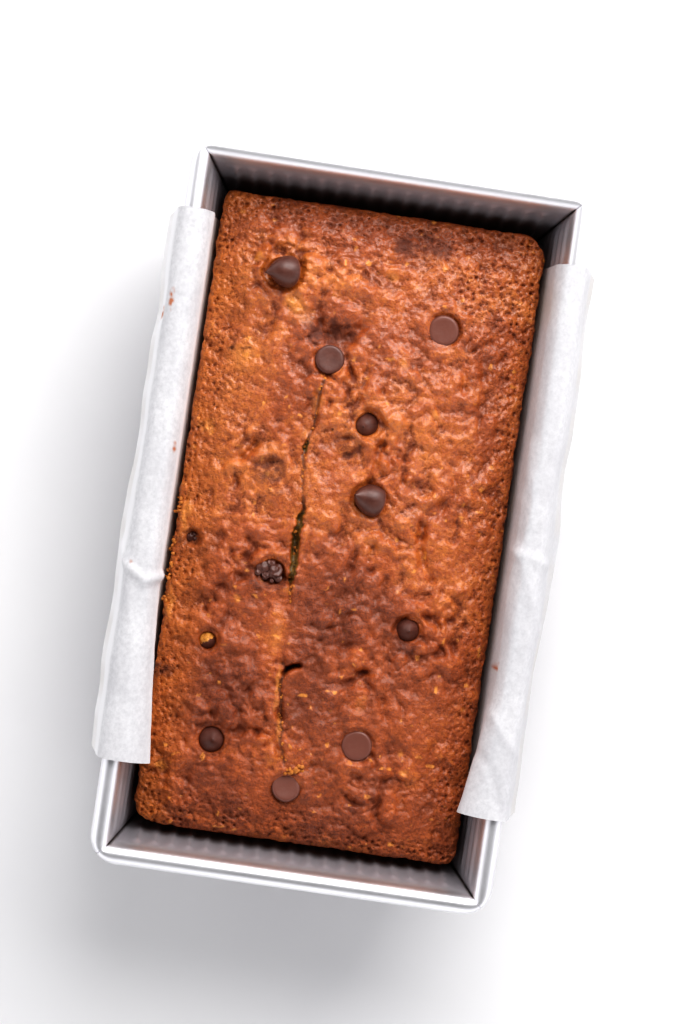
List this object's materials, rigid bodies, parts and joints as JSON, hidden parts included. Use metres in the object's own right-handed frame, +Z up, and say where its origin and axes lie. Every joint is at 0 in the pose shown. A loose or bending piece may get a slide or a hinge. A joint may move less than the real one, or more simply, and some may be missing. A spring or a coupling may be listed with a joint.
{
  "type": "banana bread in a loaf tin",
  "caption": "Banana bread with a split crust and chocolate drops, on a parchment sling in its ribbed steel loaf tin, seen as baked.",
  "frame": {"origin": "middle of the tin's flat underside", "axes": "+Z up out of the tin's mouth, +Y along the loaf towards the end with the drop that lies on its side, +X across it"},
  "size_m": [0.1392, 0.2278, 0.0735],
  "materials": {
    "tin_steel": "satin grey baking steel, a little bronzed inside",
    "parchment": "matt white baking parchment, slightly see-through",
    "crust": "red-brown baked crust with a soft shine",
    "chocolate": "dull dark chocolate"
  },
  "bodies": {
    "root": {"loaf_tin": "tin_steel", "parchment_sling": "parchment", "banana_loaf": "crust", "chocolate_drop_01": "chocolate", "chocolate_drop_02": "chocolate", "chocolate_drop_03": "chocolate", "chocolate_drop_04": "chocolate", "chocolate_drop_05": "chocolate", "chocolate_drop_06": "chocolate", "chocolate_drop_07": "chocolate", "chocolate_drop_08": "chocolate", "chocolate_drop_09": "chocolate", "chocolate_drop_10": "chocolate", "chocolate_drop_11": "chocolate", "chocolate_drop_12": "chocolate"}
  },
  "joints": []
}
